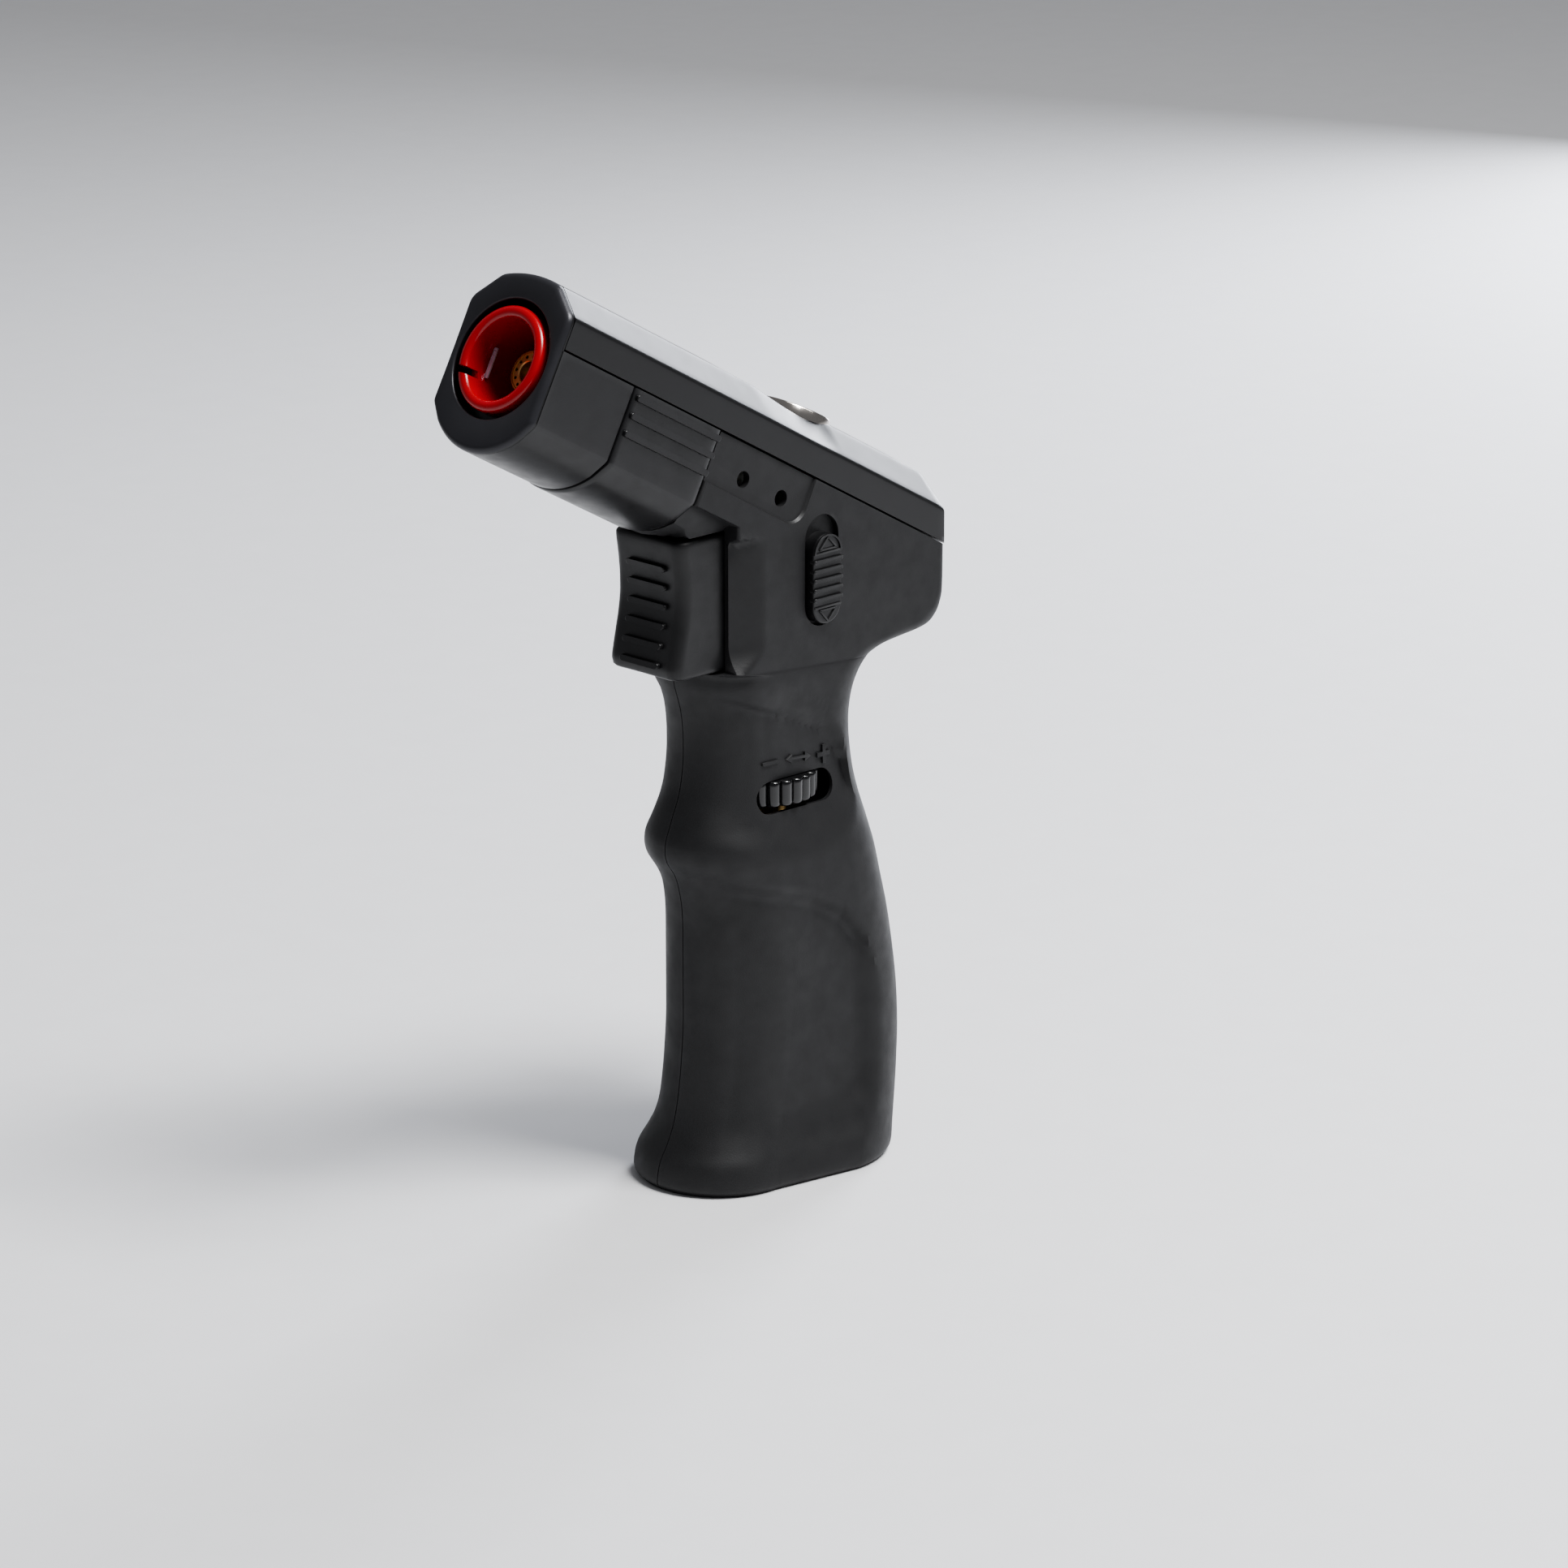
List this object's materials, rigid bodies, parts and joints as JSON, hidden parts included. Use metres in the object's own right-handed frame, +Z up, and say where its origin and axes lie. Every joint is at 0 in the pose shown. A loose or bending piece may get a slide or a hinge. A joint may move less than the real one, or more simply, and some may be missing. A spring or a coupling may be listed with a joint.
{
  "type": "butane torch",
  "caption": "Pistol-shaped hand torch for jewellery work: tilted barrel with a flame cup, trigger igniter, safety slider, flame wheel and a fuel tank in the grip.",
  "frame": {"origin": "on the ground, on the mid-plane, in the flat base under the grip", "axes": "+Z up; the muzzle points towards -X and upwards; the torch's left side, with the slider and the flame wheel, faces -Y"},
  "size_m": [0.0904, 0.032, 0.1491],
  "materials": {
    "housing_black": "soft-touch matte",
    "slide_black": "satin to gloss",
    "muzzle_black": "satin",
    "trigger_black": "fine grain",
    "slider_black": "fine grain",
    "wheel_black": "gloss",
    "cup_red": "gloss",
    "brass": "machined",
    "electrode_steel": "drawn strip",
    "spring_steel": "drawn",
    "badge_metal": "polished",
    "badge_black": "gloss",
    "tank_plastic": "moulded",
    "lever_plastic": "moulded",
    "piezo_plastic": "moulded",
    "rubber_black": "moulded",
    "felt": "felt",
    "ceramic": "glazed ceramic",
    "hose": "silicone",
    "wire_sheath": "insulated wire"
  },
  "bodies": {
    "frame": {"left_housing": "housing_black", "right_housing": "housing_black", "fuel_tank": "tank_plastic", "tank_lid": "tank_plastic", "outlet_valve_body": "brass", "stem_seal": "rubber_black", "outlet_spring": "spring_steel", "filter_wick": "felt", "wheel_clip": "spring_steel", "lever_pin": "spring_steel", "trigger_spring": "spring_steel", "piezo_body": "piezo_plastic", "piezo_end_cap": "brass", "piezo_spring": "spring_steel", "nozzle_cup": "cup_red", "burner_nozzle": "brass", "mixing_tube": "spring_steel", "jet_holder": "brass", "electrode": "electrode_steel", "electrode_insulator": "ceramic", "muzzle_cap": "muzzle_black", "barrel_cover": "muzzle_black", "slide_cover": "slide_black", "badge_rim": "badge_metal", "badge_dome": "badge_black", "refill_valve_body": "brass", "refill_spring": "spring_steel", "housing_screws": "spring_steel", "gas_hose": "hose", "ignition_wire": "wire_sheath"},
    "trigger": {"trigger": "trigger_black", "piezo_plunger": "lever_plastic"},
    "lever": {"gas_lever": "lever_plastic"},
    "outlet_stem": {"outlet_stem": "brass"},
    "slider": {"safety_slider": "slider_black", "slider_lock_plate": "slider_black"},
    "wheel": {"flame_wheel": "wheel_black"},
    "refill_stem": {"refill_stem": "brass"}
  },
  "joints": [
    {"name": "trigger_pull", "type": "slide", "parent": "frame", "child": "trigger", "axis": [1, 0, 0], "range_m": [0, 0.0045], "stiffness_N_per_m": 1200, "springref_m": -0.002, "deforming": ["trigger_spring", "piezo_spring"]},
    {"name": "lever_tilt", "type": "hinge", "parent": "frame", "child": "lever", "pos_m": [0.0015, 0, 0.0785], "axis": [0, 1, 0], "range_deg": [0, 16]},
    {"name": "outlet_lift", "type": "slide", "parent": "frame", "child": "outlet_stem", "axis": [0, 0, 1], "range_m": [0, 0.0016], "deforming": ["outlet_spring"]},
    {"name": "safety_slide", "type": "slide", "parent": "frame", "child": "slider", "axis": [0, 0, 1], "range_m": [0, 0.0025]},
    {"name": "flame_adjust", "type": "hinge", "parent": "frame", "child": "wheel", "pos_m": [-0.004, -0.0016, 0.0638], "axis": [0, 0, 1], "range_deg": [-90, 90]},
    {"name": "refill_press", "type": "slide", "parent": "frame", "child": "refill_stem", "axis": [0, 0, 1], "range_m": [0, 0.0015], "stiffness_N_per_m": 600, "springref_m": -0.001, "deforming": ["refill_spring"]}
  ],
  "couplings": [
    {"joint": "lever_tilt", "follows": "trigger_pull", "rad_per_m": 62.006},
    {"joint": "outlet_lift", "follows": "trigger_pull", "ratio": 0.3555}
  ]
}
